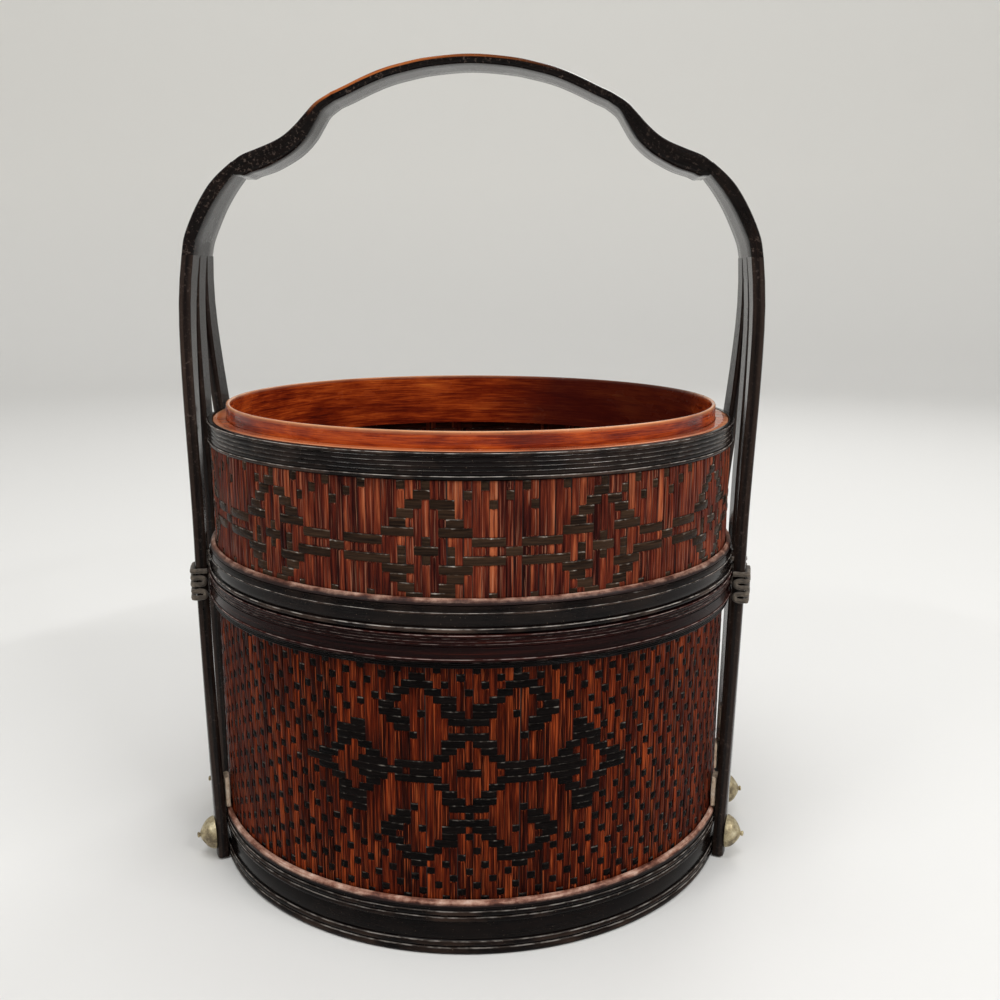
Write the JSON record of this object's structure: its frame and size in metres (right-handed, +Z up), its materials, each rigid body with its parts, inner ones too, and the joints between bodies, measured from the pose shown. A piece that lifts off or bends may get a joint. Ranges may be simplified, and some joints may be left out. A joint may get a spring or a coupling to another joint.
{
  "type": "tiered food basket",
  "caption": "Round woven bamboo food basket: a deep lower tier, a lift-off tray above it with an upstanding collar, and a tall bent handle with splayed legs.",
  "frame": {"origin": "centre of the foot, on the surface that the basket stands on", "axes": "+Z up, X through the two groups of legs with +X to the right, -Y the front"},
  "size_m": [0.242, 0.22, 0.3187],
  "materials": {
    "black_lacquer": "glossy black lacquer on bent bamboo",
    "dark_red_lacquer": "glossy dark red-brown lacquer, fine grooves",
    "collar_lacquer": "glossy orange-brown lacquer over bamboo grain",
    "woven_bamboo": "lacquered woven bamboo, red-brown with a black stepped pattern",
    "board": "lacquered board, satin",
    "pale_edge": "worn pale moulding, matt",
    "rim_core": "orange-brown bamboo, satin",
    "handle_bamboo": "dark brown lacquer, worn to amber on the crown",
    "leg_bamboo": "dark brown lacquered bamboo strip",
    "brass": "dull pale brass",
    "cord": "matt gray cord",
    "packing": "pale unlacquered bamboo"
  },
  "bodies": {
    "basket": {"foot_ring": "black_lacquer", "foot_ledge": "pale_edge", "base_board": "board", "lower_wall": "woven_bamboo", "lower_rim_band": "dark_red_lacquer", "lower_rim_core": "rim_core", "lower_collar": "collar_lacquer", "handle_crown": "handle_bamboo", "left_shoulder": "handle_bamboo", "right_shoulder": "handle_bamboo", "left_side_strip": "handle_bamboo", "right_side_strip": "handle_bamboo", "left_front_leg": "leg_bamboo", "left_front_stud": "brass", "left_front_lashing": "cord", "left_front_packing": "packing", "left_middle_leg": "leg_bamboo", "left_middle_stud": "brass", "left_middle_lashing": "cord", "left_middle_packing": "packing", "left_rear_leg": "leg_bamboo", "left_rear_stud": "brass", "left_rear_lashing": "cord", "left_rear_packing": "packing", "right_front_leg": "leg_bamboo", "right_front_stud": "brass", "right_front_lashing": "cord", "right_front_packing": "packing", "right_middle_leg": "leg_bamboo", "right_middle_stud": "brass", "right_middle_lashing": "cord", "right_middle_packing": "packing", "right_rear_leg": "leg_bamboo", "right_rear_stud": "brass", "right_rear_lashing": "cord", "right_rear_packing": "packing"},
    "tray": {"tray_foot_band": "black_lacquer", "tray_foot_ledge": "pale_edge", "tray_board": "board", "tray_wall": "woven_bamboo", "tray_rim_band": "black_lacquer", "tray_rim_core": "rim_core", "tray_collar": "collar_lacquer"}
  },
  "joints": [
    {"name": "tray_lift", "type": "slide", "parent": "basket", "child": "tray", "axis": [0, 0, 1], "range_m": [0, 0.06]}
  ]
}
